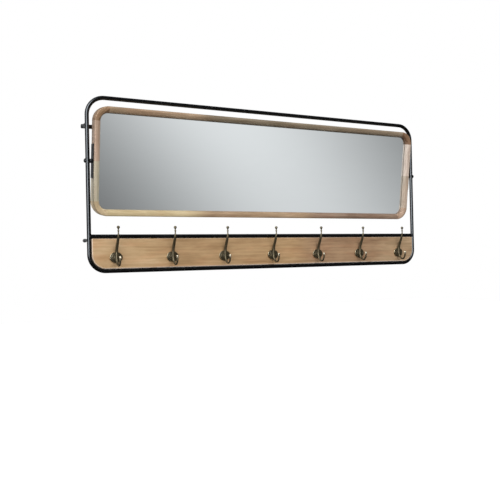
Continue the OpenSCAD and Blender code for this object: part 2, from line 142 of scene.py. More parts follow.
def shade(piece, angle=35):
    take_up(piece)
    bpy.ops.object.shade_smooth_by_angle(angle=math.radians(angle))


def turned(name, rings, sides=48):
    """A round piece worked up from a disc. Each ring is (radius, height) in millimetres."""
    clear_bench()
    r, h = rings[0]
    bpy.ops.mesh.primitive_circle_add(vertices=sides, radius=mm(r), fill_type="NGON",
                                      location=(0, 0, 0), enter_editmode=True)
    bpy.ops.transform.translate(value=(0, 0, mm(h)))
    for next_r, next_h in rings[1:]:
        bpy.ops.mesh.extrude_region_move(
            TRANSFORM_OT_translate={"value": (0, 0, mm(next_h - h))})
        grow = next_r / r
        bpy.ops.transform.resize(value=(grow, grow, 1), center_override=(0, 0, mm(next_h)))
        r, h = next_r, next_h
    close_mesh()
    piece = name_piece(bpy.context.object, name)
    faces_out(piece)
    return piece


def block(name, size, middle):
    """A squared block, in millimetres."""
    clear_bench()
    bpy.ops.mesh.primitive_cube_add(size=1, location=(0, 0, 0), enter_editmode=True)
    bpy.ops.transform.resize(value=mm(*size), center_override=(0, 0, 0))
    bpy.ops.transform.translate(value=mm(*middle))
    close_mesh()
    return name_piece(bpy.context.object, name)


def twin(piece, name):
    """A copy with its own mesh."""
    copy = piece.copy()
    copy.data = piece.data.copy()
    bpy.context.scene.collection.objects.link(copy)
    return name_piece(copy, name)


def set_down(piece, place):
    """Puts the piece's mesh at its place, with the object left at the origin."""
    piece.data.transform(place)
    if place.determinant() < 0:
        piece.data.flip_normals()
    piece.data.update()
    return piece


def combine(pieces, name):
    clear_bench()
    for piece in pieces:
        piece.select_set(True)
    bpy.context.view_layer.objects.active = pieces[0]
    bpy.ops.object.join()
    return name_piece(bpy.context.object, name)


def discard(*pieces):
    for piece in pieces:
        bpy.data.objects.remove(piece, do_unlink=True)


def boolean(piece, how, others):
    for other in others:
        apply_last(piece, "BOOLEAN", operation=how, object=other, solver="EXACT")
    discard(*others)


def carve(piece, *cutters):
    boolean(piece, "DIFFERENCE", cutters)


def fuse(piece, *others):
    boolean(piece, "UNION", others)


def repeat(master, name, places):
    """One piece made of a copy of the master at each place."""
    copies = [set_down(twin(master, f"{name}_{i}"), place) for i, place in enumerate(places)]
    discard(master)
    return combine(copies, name)


def fit(piece, body, finish, slot, *nodes):
    """Gives a new piece its finish, its body, and the CAD nodes that it stands for."""
    piece.data.materials.clear()
    piece.data.materials.append(finish)
    if nodes:
        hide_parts(*nodes)
    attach(piece, body)


def at(x, y, z, turn=None):
    """A place in millimetres, with a turn if one is given."""
    place = Matrix.Translation(mm(x, y, z))
    return place @ turn.to_4x4() if turn else place


def facing(direction):
    """A turn that points a piece's +Z that way."""
    return Vector(direction).to_track_quat("Z", "Y").to_matrix()


def spun(direction, degrees):
    """The same, after a turn about the piece's own axis."""
    return facing(direction) @ Matrix.Rotation(math.radians(degrees), 3, "Z")


PIVOT = mm(0, FRAME_Y, PIVOT_Z)
HUNG = Matrix.Translation(PIVOT) @ Matrix.Rotation(math.radians(PANEL_LEAN), 4, "X")


def hung(x, y, z, turn=None):
    """A place on the leaning mirror panel, measured from the pivot axis."""
    return HUNG @ at(x, y, z, turn)


# ------------------------------------------------------------------------- finishes

class Patterns:
    """The nodes of one shader. Most functions add some, and give back what comes out."""

    def __init__(self, tree):
        self.tree = tree

    def feed(self, node, values):
        """Joins an output to each socket of the node, or sets a plain value on it."""
        for socket, value in values.items():
            if isinstance(value, bpy.types.NodeSocket):
                self.tree.links.new(value, node.inputs[socket])
            else:
                node.inputs[socket].default_value = value

    def made(self, kind, result, values=None, **settings):
        """Adds a node with these settings and values, and gives back one of its outputs."""
        node = self.tree.nodes.new(kind)
        for setting, value in settings.items():
            setattr(node, setting, value)
        self.feed(node, values or {})
        return node.outputs[result]

    def maths(self, how, *values):
        return self.made("ShaderNodeMath", "Value", dict(enumerate(values)), operation=how)

    def vectors(self, how, *values):
        result = "Value" if how in ("DISTANCE", "DOT_PRODUCT", "LENGTH") else "Vector"
        return self.made("ShaderNodeVectorMath", result, dict(enumerate(values)), operation=how)

    def spread(self, source, low, high, to_low=0.0, to_high=1.0):
        """Eases from to_low to to_high while the source goes from low to high."""
        return self.made("ShaderNodeMapRange", "Result",
                         {"Value": source, "From Min": low, "From Max": high,
                          "To Min": to_low, "To Max": to_high}, interpolation_type="SMOOTHSTEP")

    def away_from(self, source, middle):
        """How far the source is from the middle."""
        return self.maths("ABSOLUTE", self.maths("SUBTRACT", source, middle))

    def sum_of(self, parts):
        """Adds patterns up, each times its share."""
        total = 0.0
        for source, share in parts:
            total = self.maths("MULTIPLY_ADD", source, share, total)
        return total


class Finish(Patterns):
    """A surface and the patterns that feed it. Places are in metres."""

    def __init__(self, name, **sockets):
        self.material = bpy.data.materials.new(name)
        self.material.use_nodes = True
        super().__init__(self.material.node_tree)
        self.surface = self.tree.nodes["Principled BSDF"]
        self.feed(self.surface, {socket.replace("_", " "): value
                                 for socket, value in sockets.items()})
        self.place = self.made("ShaderNodeTexCoord", "Object")

    def mapped(self, kind="POINT", **values):
        return self.made("ShaderNodeMapping", "Vector", {"Vector": self.place, **values},
                         vector_type=kind)

    def turn_place(self, middle, turn):
        """Moves the patterns' origin to middle, and then turns the patterns."""
        self.place = self.mapped("TEXTURE", Location=middle,
                                 Rotation=[math.radians(a) for a in turn])

    def along(self, axis):
        """How far a place is along an axis."""
        return self.made("ShaderNodeSeparateXYZ", axis, {"Vector": self.place})

    def noise(self, stretch, detail=4.0, roughness=0.55, distortion=0.0, shift=(0, 0, 0)):
        """Clouds, so many to the metre in all three directions or in each of them."""
        if isinstance(stretch, (int, float)):
            stretch = (stretch,) * 3
        return self.made("ShaderNodeTexNoise", "Fac",
                         {"Vector": self.mapped(Scale=stretch, Location=shift), "Scale": 1.0,
                          "Detail": detail, "Roughness": roughness, "Distortion": distortion})

    def waves(self, stretch, distortion):
        """Wavering bands stacked along Z, with the place stretched by so much each way."""
        return self.made("ShaderNodeTexWave", "Fac",
                         {"Vector": self.mapped(Scale=stretch), "Scale": 1.0,
                          "Distortion": distortion, "Detail": 3.0, "Detail Scale": 1.2},
                         wave_type="BANDS", bands_direction="Z")

    def within_outline(self, middle_x, middle_z, half_w, half_h, corner_r):
        """How far a place is from a rounded outline in the XZ plane: negative inside it."""
        shifted = self.vectors("SUBTRACT", self.place, (middle_x, 0, middle_z))
        past = self.vectors("SUBTRACT", self.vectors("ABSOLUTE", shifted),
                            (half_w - corner_r, 1, half_h - corner_r))
        outer = self.vectors("MAXIMUM", past, (0, 0, 0))
        return self.maths("SUBTRACT", self.vectors("LENGTH", outer), corner_r)

    def near_line(self, middle_y, middle_z, radius):
        """1 within a radius of a line along X, and 0 a millimetre further out."""
        flat = self.vectors("MULTIPLY", self.place, (0, 1, 1))
        gap = self.vectors("DISTANCE", flat, mm(0, middle_y, middle_z))
        return self.spread(gap, mm(radius), mm(radius + 1), 1.0, 0.0)

    def pane_joint_shadow(self):
        """Painted shadow where the lip of the mirror's frame meets the glass."""
        from_glass = self.away_from(self.along("Y"), mm(PANE_FACE_Y))
        from_lip = self.within_outline(0, 0, *(mm(size) for size in PANE_OPENING))
        return self.maths("MULTIPLY", self.spread(from_glass, mm(1.2), mm(2.2), 0.85, 0.0),
                          self.spread(from_lip, mm(3), mm(5), 1.0, 0.0))

    def tones(self, source, stops):
        """Colours by the source's value. Each stop is (value, colour)."""
        node = self.tree.nodes.new("ShaderNodeValToRGB")
        ramp = node.color_ramp
        while len(ramp.elements) < len(stops):
            ramp.elements.new(0.5)
        for element, (position, colour) in zip(ramp.elements, stops):
            element.position = position
            element.color = colour
        self.feed(node, {"Fac": source})
        return node.outputs["Color"]

    def blend(self, share, one, other, how="MIX"):
        """Mixes two colours. The numbers are the sockets of a mix node set to colours."""
        return self.made("ShaderNodeMix", 2, {0: share, 6: one, 7: other},
                         data_type="RGBA", blend_type=how)

    def colour(self, source):
        self.feed(self.surface, {"Base Color": source})

    def roughness(self, source):
        self.feed(self.surface, {"Roughness": source})

    def bump(self, source, depth, strength):
        """Raises the surface by up to depth, in millimetres."""
        normal = self.made("ShaderNodeBump", "Normal",
                           {"Strength": strength, "Distance": mm(depth), "Height": source})
        self.feed(self.surface, {"Normal": normal})


COAT_BLACK = (8, 8, 9)


def black_coat(name, gloss):
    """Powder coat: fine orange peel, a little dust, and rubbed patches that shine more."""
    coat = Finish(name, Specular_IOR_Level=1.0, Specular_Tint=(0.86, 0.93, 1.0, 1.0))
    peel = coat.noise(620, detail=3)
    patches = coat.noise(9, detail=5, roughness=0.6)
    dust = coat.noise(2400, detail=2)
    deep = srgb(*COAT_BLACK)
    dusty = srgb(*(c + 6 for c in COAT_BLACK))
    coat.colour(coat.tones(coat.sum_of([(patches, 0.7), (dust, 0.3)]),
                           [(0.3, deep), (0.75, dusty)]))
    coat.roughness(coat.spread(patches, 0.3, 0.7, gloss, gloss + 0.12))
    coat.bump(coat.sum_of([(peel, 1.0), (dust, 0.25)]), 0.02, 0.3)
    return coat.material


# The colour of the painted shadow where the panel's lip meets the glass.
LIP_SHADOW = srgb(58, 48, 34)
# The colour of the painted highlight along the board's eased edge.
PAINTED_EDGE_HIGHLIGHT = srgb(238, 214, 190)
WOOD_GLOSS = 0.42


def oiled_wood(name, lengths, lie=0, on_panel=False, change=0.3, outline=None):
    """Straight-grained wood, in one length or glued up end to end.

    The grain runs along X, turned by lie about Y. Each length has the place along the grain
    where it starts, in metres, and its pale, middle and dark tones. A change of tone takes
    that many millimetres to each side, and a sharp one is a glue line. On the leaning panel
    the grain leans too, and a painted shadow darkens the wood where the lip meets the glass.
    Where an outline is given, a painted highlight makes the wood paler along it, as light
    catches an eased edge.
    """
    wood = Finish(name, Coat_Weight=0.25, Coat_Roughness=0.3, IOR=1.46)
    joint_shadow = None
    if on_panel:
        wood.turn_place(PIVOT, (PANEL_LEAN, 0, 0))
        joint_shadow = wood.pane_joint_shadow()
    if lie:
        wood.turn_place((0, 0, 0), (0, lie, 0))
    figure = wood.waves((1.1, 20, 30), 7.0)
    streaks = wood.noise((10, 70, 130), detail=5, roughness=0.62, distortion=0.25)
    fibres = wood.noise((26, 1500, 1900), detail=3, roughness=0.6)
    clouds = wood.noise((8, 18, 38), detail=4, roughness=0.6, distortion=0.3, shift=(3, 1, 7))
    flush = wood.noise((9, 16, 44), detail=3, roughness=0.55, distortion=0.3, shift=(9, 4, 2))
    pores = wood.noise((60, 2600, 2600), detail=1, shift=(5, 5, 5))
    grain = wood.sum_of([(figure, 0.05), (streaks, 0.34), (fibres, 0.15), (clouds, 0.46)])
    along_grain = wood.along("X")
    colour = darkest = None
    for start, pale, middle, dark in lengths:
        tone = wood.tones(grain, [(0.36, dark), (0.54, middle), (0.72, pale)])
        if colour is None:
            colour, darkest = tone, dark
            continue
        beyond = wood.spread(along_grain, start - mm(change), start + mm(change))
        colour = wood.blend(beyond, colour, tone)
        if change < 1:
            seam = wood.away_from(along_grain, start)
            colour = wood.blend(wood.spread(seam, mm(0.2), mm(0.9), 0.5, 0.0), colour, dark)
    colour = wood.blend(wood.spread(flush, 0.46, 0.66, 0.0, 0.5), colour, (1.06, 0.93, 0.9, 1),
                        "MULTIPLY")
    pore_marks = wood.spread(pores, 0.60, 0.70, 0.0, 0.4)
    colour = wood.blend(pore_marks, colour, darkest)
    # Painted highlight: paler wood along the board's eased edge, where light would catch it.
    if outline:
        edge = wood.spread(wood.within_outline(*outline), mm(-3.4), mm(-1.6), 0.0, 0.75)
        colour = wood.blend(edge, colour, PAINTED_EDGE_HIGHLIGHT)
    # Painted shadow where the lip meets the glass.
    if joint_shadow:
        colour = wood.blend(joint_shadow, colour, LIP_SHADOW)
    wood.colour(colour)
    wood.roughness(wood.spread(streaks, 0.3, 0.7, WOOD_GLOSS, WOOD_GLOSS + 0.16))
    wood.bump(wood.sum_of([(fibres, 0.5), (streaks, 0.6), (pores, -0.5)]), 0.04, 0.5)
    return wood.material


PRONG_BALLS = (BOARD_FRONT_Y - PRONG_REACH, HOOK_Z)  # Y and Z of the line through them
TIP_POLISH = 4
POLISHED_BRASS = (0.82, 0.75, 0.58, 1)


def aged_brass(name, deep, middle, bright, polished=None):
    """Cast brass under a brown-green patina, rubbed through to the metal along its edges.

    Where polished is given, use has polished what lies along that line in X.
    """
    brass = Finish(name)
    edges = brass.made("ShaderNodeNewGeometry", "Pointiness")
    spots = brass.noise(260, detail=5, roughness=0.65)
    clouds = brass.noise(45, detail=3)
    wear = brass.sum_of([(brass.spread(edges, 0.46, 0.56), 0.62), (spots, 0.26), (clouds, 0.24)])
    colour = brass.tones(wear, [(0.25, deep), (0.52, middle), (0.85, bright)])
    rough = brass.spread(wear, 0.3, 0.85, 0.42, 0.28)
    if polished:
        tip = brass.near_line(*polished, TIP_POLISH)
        colour = brass.blend(tip, colour, POLISHED_BRASS)
        rough = brass.sum_of([(rough, 1.0), (tip, -0.08)])
    brass.colour(colour)
    brass.feed(brass.surface, {"Metallic": brass.spread(wear, 0.3, 0.8, 0.35, 1.0)})
    brass.roughness(rough)
    brass.bump(brass.sum_of([(spots, 1.0), (clouds, 0.6)]), 0.12, 0.5)
    return brass.material


def silvered(name):
    """Mirror glass: the faintest film of wiping marks, over a float sheet's slow waves."""
    glass = Finish(name, Metallic=1.0, Roughness=0.0)
    marks = glass.noise((4, 4, 16), detail=4, roughness=0.7, distortion=0.8)
    glass.colour(glass.tones(marks, [(0.3, (0.876, 0.918, 0.933, 1)),
                                     (0.7, (0.887, 0.930, 0.945, 1))]))
    glass.bump(glass.noise(6, detail=1), 0.01, 0.2)
    return glass.material


def moulded(name, tint, rough, depth=0.08):
    """Rubber or plastic with a fine moulded grain and a bloom of dust."""
    skin = Finish(name, IOR=1.45)
    grain = skin.noise(1500, detail=3)
    bloom = skin.noise(70, detail=4)
    skin.colour(skin.tones(bloom, [(0.3, srgb(*tint)), (0.75, srgb(*(c + 16 for c in tint)))]))
    skin.roughness(skin.spread(bloom, 0.3, 0.7, rough, min(rough + 0.15, 1)))
    skin.bump(grain, depth, 0.6)
    return skin.material


def pressed_board(name):
    """Brown hardboard: matted fibres, paler flecks."""
    board = Finish(name, IOR=1.45)
    fibres = board.noise((260, 700, 420), detail=5, roughness=0.7, distortion=1.2)
    flecks = board.noise(1300, detail=2)
    clouds = board.noise(14, detail=3)
    mixed = board.sum_of([(fibres, 0.5), (flecks, 0.25), (clouds, 0.25)])
    board.colour(board.tones(mixed, [(0.36, srgb(84, 58, 38)), (0.52, srgb(122, 90, 62)),
                                     (0.66, srgb(160, 126, 92))]))
    board.roughness(board.spread(fibres, 0.3, 0.7, 0.62, 0.8))
    board.bump(mixed, 0.12, 0.7)
    return board.material


def plated_steel(name, deep, bright, low=0.24, high=0.42):
    """Drawn and plated steel with fine tool marks."""
    steel = Finish(name, Metallic=1.0)
    marks = steel.noise(420, detail=4, roughness=0.6)
    stains = steel.noise(90, detail=3)
    steel.colour(steel.tones(steel.sum_of([(marks, 0.5), (stains, 0.5)]),
                             [(0.35, srgb(*deep)), (0.65, srgb(*bright))]))
    steel.roughness(steel.spread(stains, 0.3, 0.7, low, high))
    steel.bump(marks, 0.05, 0.4)
    return steel.material


YELLOW_OAK = (srgb(216, 188, 150), srgb(199, 167, 126), srgb(170, 136, 94))
TAN_OAK = (srgb(204, 172, 131), srgb(182, 149, 109), srgb(152, 119, 82))
RED_OAK = (srgb(190, 158, 124), srgb(164, 133, 103), srgb(132, 102, 76))
END_OAK = (srgb(200, 172, 140), srgb(177, 150, 118), srgb(145, 119, 90))
GREY_OAK = (srgb(164, 150, 130), srgb(140, 127, 108), srgb(106, 91, 70))
UMBER_OAK = (srgb(197, 172, 145), srgb(174, 149, 122), srgb(138, 115, 90))
PINK_OAK = (srgb(210, 186, 166), srgb(193, 168, 147), srgb(162, 136, 114))
PALE_PINK_OAK = (srgb(224, 211, 198), srgb(208, 192, 179), srgb(174, 155, 140))
ROSE_OAK = (srgb(200, 186, 168), srgb(179, 164, 146), srgb(145, 129, 110))
SILVER_OAK = (srgb(214, 208, 188), srgb(198, 191, 168), srgb(168, 160, 134))
STRAW_OAK = (srgb(218, 200, 164), srgb(203, 184, 144), srgb(172, 150, 110))
SANDY_OAK = (srgb(196, 168, 138), srgb(172, 145, 116), srgb(140, 114, 86))
BROWN_OAK = (srgb(164, 140, 122), srgb(138, 115, 98), srgb(106, 84, 68))
BEECH = (srgb(222, 190, 150), srgb(204, 168, 126), srgb(176, 138, 98))

satin_black = black_coat("satin_black_coat", 0.2)
fitting_black = black_coat("black_fitting_coat", 0.36)
black_steel = plated_steel("blackened_screw_steel", (30, 30, 31), (62, 62, 64), 0.3, 0.5)
# The board's lower corners are those of a taller outline, whose upper ones lie past the board.
OUTLINE_HALF_H = 100
# The outline sets where the board's painted edge highlight runs.
board_wood = oiled_wood(
    "oiled_board_wood",
    [(0, *YELLOW_OAK), (-0.38, *TAN_OAK), (0.12, *RED_OAK), (0.44, *END_OAK)], change=60,
    outline=(0, mm(BOARD_BOTTOM_Z + OUTLINE_HALF_H), mm(BOARD_HALF_W), mm(OUTLINE_HALF_H),
             mm(BOARD_CORNER_R)))


def panel_wood(place, lengths, lie=0, change=0.3):
    return oiled_wood(f"oiled_{place}_wood", lengths, lie, True, change)


top_wood = panel_wood("top_rail", [(0, *UMBER_OAK), (-0.24, *GREY_OAK)], change=50)
bottom_wood = panel_wood("bottom_rail", [(0, *STRAW_OAK), (-0.25, *SANDY_OAK),
                                         (0.16, *BROWN_OAK)], change=50)
left_wood = panel_wood("left_stile", [(0, *PINK_OAK), (0, *SILVER_OAK)], 90)
right_wood = panel_wood("right_stile", [(0, *PALE_PINK_OAK), (0, *ROSE_OAK)], 90)
CORNER_WOOD = {  # the way the grain lies, and the pale, middle and dark tones
    "top_left": (-45, (srgb(194, 166, 136), srgb(158, 128, 98), srgb(108, 78, 54))),
    "top_right": (45, (srgb(168, 136, 108), srgb(134, 104, 80), srgb(92, 66, 48))),
    "bottom_left": (45, (srgb(220, 200, 164), srgb(203, 181, 144), srgb(170, 146, 110))),
    "bottom_right": (-45, (srgb(202, 180, 158), srgb(176, 152, 130), srgb(132, 106, 86))),
}
corner_wood = {
    corner: panel_wood(f"{corner}_corner", [(0, *tones)], lie)
    for corner, (lie, tones) in CORNER_WOOD.items()
}
dowel_wood = oiled_wood("beech_dowel_wood", [(0, *BEECH)])
brass = aged_brass("aged_cast_brass", (0.032, 0.028, 0.017, 1), (0.090, 0.073, 0.040, 1),
                   (0.45, 0.395, 0.275, 1), PRONG_BALLS)
screw_brass = aged_brass("aged_screw_brass", (0.06, 0.05, 0.03, 1), (0.26, 0.22, 0.14, 1),
                         (0.75, 0.68, 0.50, 1))
mirror_silver = silvered("silvered_mirror_glass")
foot_rubber = moulded("foot_rubber", (92, 92, 94), 0.6)
plug_plastic = moulded("plug_plastic", (20, 20, 21), 0.45, 0.04)
hardboard = pressed_board("brown_hardboard")
zinc = plated_steel("zinc_plated_steel", (126, 128, 132), (186, 188, 190))

FINISH_OF = {
    satin_black: ["tube_frame", "cross_bar", "rear_bar", "bar_standoffs", "foot_pegs"],
    board_wood: ["hook_board"],
    top_wood: ["top_rail"],
    bottom_wood: ["bottom_rail"],
    left_wood: ["left_stile"],
    right_wood: ["right_stile"],
    **{finish: [f"corner_{corner}"] for corner, finish in corner_wood.items()},
    dowel_wood: ["frame_dowels"],
    mirror_silver: ["mirror_glass"],
    hardboard: ["backing_board"],
    zinc: ["pivot_nuts"],
}
for finish, names in FINISH_OF.items():
    for name in names:
        cad[name].data.materials.clear()
        cad[name].data.materials.append(finish)

# ---------------------------------------------------------------------------- hooks

ARM_REACH, ARM_RISE, ARM_BEND_RISE = 26, 85, 68
ARM_ROOT_R, ARM_NECK_R = 4.5, 2
ARM_THINNING = 4  # how late the arm thins towards its neck
UPPER_BALL_R = 4.5
BEAD_R, BEAD_SQUASH, BEAD_DROP = 3.0, 0.8, 10
PRONG_DROP, PRONG_R = 23.5, 2.75
PRONG_SWING = 0.8  # under 1, the prong comes forward sooner
PRONG_BALL_R = 4.0
SPINE_REACH, SPINE_TOP, SPINE_BOTTOM = 6.5, 12, -4
ROSETTE_HALF_W, ROSETTE_HALF_H = 19, 15.75
ROSETTE = [  # radius and height from the board
    (15.5, 0), (15.75, 0.3), (15.75, 2.9), (15.5, 3.5), (15, 3.9), (14.2, 4.0), (13.2, 3.95),
    (12.9, 3.8), (12.4, 3.85), (11.8, 4.2), (10.1, 4.8), (7.8, 5.35), (5, 5.75), (2.4, 5.95),
]
BOSS = [(8.0, 2.0), (8.0, 4.6), (6.6, 5.6), (4.0, 6.4)]  # the same
HOOK_SCREW_X = 12
HOOK_SCREW_TOP = 4.5
HOOK_SCREW_L = 13
SCREW_SEAT = [  # the hole, and the cone that the screw's head sits in
    (1.8, -1), (1.8, HOOK_SCREW_TOP - 1.8), (2.9, HOOK_SCREW_TOP), (2.9, HOOK_SCREW_TOP + 4),
]
VOXEL = 0.55


def eased(t):
    """From 0 to 1 with a gentle start and end."""
    t = min(max(t, 0), 1)
    return t * t * (3 - 2 * t)


def arm_line(steps=18):
    """Reach, height and radius of the upper arm, from its ball down into the rosette."""
    line = []
    for k in range(steps + 1):
        height = ARM_RISE + (SPINE_TOP - ARM_RISE) * k / steps
        t = (height - SPINE_TOP) / (ARM_BEND_RISE - SPINE_TOP)
        line.append((SPINE_REACH + (ARM_REACH - SPINE_REACH) * eased(t), height,
                     ARM_ROOT_R + (ARM_NECK_R - ARM_ROOT_R) * min(t, 1) ** ARM_THINNING))
    return line + [(SPINE_REACH, SPINE_TOP / 2, ARM_ROOT_R),
                   (SPINE_REACH, SPINE_BOTTOM, ARM_ROOT_R)]


def prong_line(steps=16):
    """The same of the lower prong, which makes half a turn out to its tip."""
    line = [(SPINE_REACH, 0, ARM_ROOT_R)]
    for k in range(steps + 1):
        turn = math.pi * k / steps
        forward = ((1 - math.cos(turn)) / 2) ** PRONG_SWING
        line.append((SPINE_REACH + (PRONG_REACH - SPINE_REACH) * forward,
                     SPINE_BOTTOM - (PRONG_DROP + SPINE_BOTTOM) * math.sin(turn),
                     ARM_ROOT_R + (PRONG_R - ARM_ROOT_R) * min(2 * k / steps, 1)))
    return line + [(PRONG_REACH, 0, PRONG_R)]


def round_bar(name, line, kind="POLY", roundness=2, closed=False):
    """A round bar along a line of (place, radius), with places in metres."""
    curve = bpy.data.curves.new(name, "CURVE")
    curve.dimensions = "3D"
    curve.resolution_u = 6
    curve.bevel_depth = mm(1)
    curve.bevel_resolution = roundness
    curve.use_fill_caps = not closed
    spline = curve.splines.new(kind)
    spline.points.add(len(line) - 1)
    for point, (place, radius) in zip(spline.points, line):
        point.co = (*place, 1)
        point.radius = radius
    spline.use_cyclic_u = closed
    if kind == "NURBS":
        spline.order_u = 4
        spline.use_endpoint_u = True
    bar = bpy.data.objects.new(name, curve)
    bpy.context.scene.collection.objects.link(bar)
    take_up(bar)
    bpy.ops.object.convert(target="MESH")
    bar = name_piece(bpy.context.object, name)
    faces_out(bar)
    return bar


def limb(name, line):
    """A bar of the casting, along a line of (reach, height, radius)."""
    return round_bar(name, [((0, -mm(reach), mm(height)), r) for reach, height, r in line],
                     "NURBS", 4)


def ball(name, radius, middle, squash=1.0):
    clear_bench()
    bpy.ops.mesh.primitive_uv_sphere_add(segments=32, ring_count=20, radius=mm(radius),
                                         location=(0, 0, 0), enter_editmode=True)
    bpy.ops.transform.resize(value=(1, 1, squash), center_override=(0, 0, 0))
    bpy.ops.transform.translate(value=mm(*middle))
    close_mesh()
    return name_piece(bpy.context.object, name)


def from_board(name, rings, sides, x=0):
    """A turned piece that stands forward from the board."""
    return set_down(turned(name, rings, sides), at(x, 0, 0, facing((0, -1, 0))))


def cast_hook():
    """The casting: its parts are fused, remeshed and smoothed, so that they flow together."""
    limbs = [
        limb("arm", arm_line()),
        limb("prong", prong_line()),
        ball("upper_ball", UPPER_BALL_R, (0, -ARM_REACH, ARM_RISE)),
        ball("neck_bead", BEAD_R, (0, -ARM_REACH, ARM_RISE - BEAD_DROP), BEAD_SQUASH),
        ball("prong_ball", PRONG_BALL_R, (0, -PRONG_REACH, 0)),
        from_board("boss", BOSS, 40),
    ]
    casting = combine(limbs, "casting")
    apply_last(casting, "REMESH", mode="VOXEL", voxel_size=mm(VOXEL))
    apply_last(casting, "SMOOTH", factor=0.5, iterations=7)
    plate = from_board("rosette", ROSETTE, 72)
    set_down(plate, Matrix.Diagonal((ROSETTE_HALF_W / ROSETTE_HALF_H, 1, 1, 1)))
    fuse(casting, plate)
    carve(casting, *(from_board("screw_seat", SCREW_SEAT, 32, side * HOOK_SCREW_X)
                     for side in (-1, 1)))
    faces_out(casting)
    shade(casting, 40)
    return casting


casting = cast_hook()
for number, x in enumerate(HOOK_X, 1):
    hook = set_down(twin(casting, f"cast_hook_{number}"), at(x, BOARD_FRONT_Y, HOOK_Z))
    fit(hook, "wall_frame", brass, "aged_brass", f"hook_{number}")
discard(casting)

# --------------------------------------------------------------------------- screws

SCREW_HEAD_R, SCREW_HEAD_T = 2.8, 1.8
SHANK_R = 1.75
SCREW_L = 10
SLOT_W = 0.75
SLOT_TAPER = (0.45, 0.7, 1)  # how much of the slot's plan is left at its bottom


def cross_slot(top, depth, reach):
    """The cutter for a cross recess, tapered towards its bottom."""
    bars = []
    for turn in (0, 90):
        bar = block("slot_bar", (2 * reach, SLOT_W, depth), (0, 0, top - depth / 2 + 0.1))
        open_mesh(bar)
        bpy.ops.mesh.select_all(action="DESELECT")
        close_mesh()
        for vertex in bar.data.vertices:
            vertex.select = vertex.co.z < mm(top - depth / 2)
        open_mesh(bar)
        bpy.ops.transform.resize(value=SLOT_TAPER, center_override=(0, 0, 0))
        close_mesh()
        bars.append(set_down(bar, Matrix.Rotation(math.radians(turn), 4, "Z")))
    fuse(bars[0], bars[1])
    return bars[0]


def wood_screw(name, head, slot, length):
    """A wood screw that faces +Z, with the rings of its head and the sizes of its slot."""
    tip = [(0.3, -length), (1.2, -length + 2.5), (SHANK_R, -length + 3.5)]
    screw = turned(name, tip + head, 32)
    carve(screw, cross_slot(*slot))
    shade(screw)
    return screw


def pan_screw():
    """Its head's seat is at height 0."""
    r, top = SCREW_HEAD_R, SCREW_HEAD_T
    head = [(SHANK_R, 0), (r - 0.1, 0), (r, 0.15), (r, 0.8), (r * 0.93, 1.15),
            (r * 0.76, top * 0.83), (r * 0.5, top * 0.95), (r * 0.2, top)]
    return wood_screw("pan_screw", head, (top, 1.2, r * 0.58), SCREW_L)


def countersunk_screw(length=SCREW_L):
    """Its flat top is at height 0."""
    r = SCREW_HEAD_R
    head = [(SHANK_R, -SCREW_HEAD_T), (r, -0.12), (r, -0.02), (r * 0.9, 0.0)]
    return wood_screw("countersunk_screw", head, (0, 1.1, r * 0.6), length)


# Each screw stopped at a turn of its own, so their slots point every way.
heads = [at(x + side * HOOK_SCREW_X, BOARD_FRONT_Y - HOOK_SCREW_TOP, HOOK_Z,
            spun((0, -1, 0), 23 * i + 41 * side))
         for i, x in enumerate(HOOK_X) for side in (-1, 1)]
fit(repeat(countersunk_screw(length=HOOK_SCREW_L), "rosette_screws", heads),
    "wall_frame", screw_brass, "brass_screws", "hook_screws")

TAB_SCREW_INSET = 9
heads = [at(x, BOARD_BACK_Y + TAB_T, z, spun((0, 1, 0), 31 * i + 17 * j))
         for i, x in enumerate(TAB_X)
         for j, z in enumerate((BOARD_TOP_Z - TAB_SCREW_INSET, BOARD_BOTTOM_Z + TAB_SCREW_INSET))]
fit(repeat(pan_screw(), "tab_screws", heads),
    "wall_frame", black_steel, "black_screws", "board_screws")

BACKING_FACE_Y = 13.5
BACKING_SCREW_INSET = 9.5
RAIL_SCREW_X = tuple(160 * i for i in range(-3, 4))
STILE_SCREW_RISE = 70
heads = [hung(x, BACKING_FACE_Y, side * (PANEL_HALF_H - BACKING_SCREW_INSET),
              spun((0, 1, 0), 29 * i + 13 * side))
         for i, x in enumerate(RAIL_SCREW_X) for side in (-1, 1)]
heads += [hung(sx * (PANEL_HALF_W - BACKING_SCREW_INSET), BACKING_FACE_Y, sz * STILE_SCREW_RISE,
               spun((0, 1, 0), 19 * sx + 37 * sz))
          for sx in (-1, 1) for sz in (-1, 1)]
fit(repeat(pan_screw(), "backing_pan_screws", heads),
    "mirror_panel", zinc, "zinc_steel", "backing_screws")

PLATE_T = 2.5
PLATE_SCREW_Y = -2
PLATE_SCREW_Z = 36
heads = [hung(side * (PANEL_HALF_W + PLATE_T), PLATE_SCREW_Y, end * PLATE_SCREW_Z,
              spun((side, 0, 0), 25 * end + 11 * side))
         for side in (-1, 1) for end in (-1, 1)]
fit(repeat(countersunk_screw(), "pivot_plate_screws", heads),
    "mirror_panel", black_steel, "black_screws", "plate_screws")

# --------------------------------------------------------------------------- pivots

BOLT_R = 3
BOLT_HEAD_SEAT = 22.3
BOLT_HEAD = [  # radius and height from its seat
    (5.85, 0), (6.0, 0.15), (6.0, 1.5), (5.75, 2.1), (5.2, 2.9), (4.3, 3.65), (3.2, 4.2),
    (2.4, 4.45), (2.1, 4.5),
]
BOLT_SOCKET = [(1.2, 2.1), (1.95, 2.3), (1.95, 5)]  # the same
NUT_T = 3.2


def pivot_bolt(name):
    """A button-headed bolt with a hex socket. Height 0 is the panel's edge."""
    shank = [(2.6, -NUT_T), (BOLT_R, -NUT_T + 0.4), (BOLT_R, BOLT_HEAD_SEAT)]
    bolt = turned(name, shank + [(r, BOLT_HEAD_SEAT + rise) for r, rise in BOLT_HEAD], 48)
    carve(bolt, turned("socket", [(r, BOLT_HEAD_SEAT + rise) for r, rise in BOLT_SOCKET], 6))
    shade(bolt, 30)
    return bolt


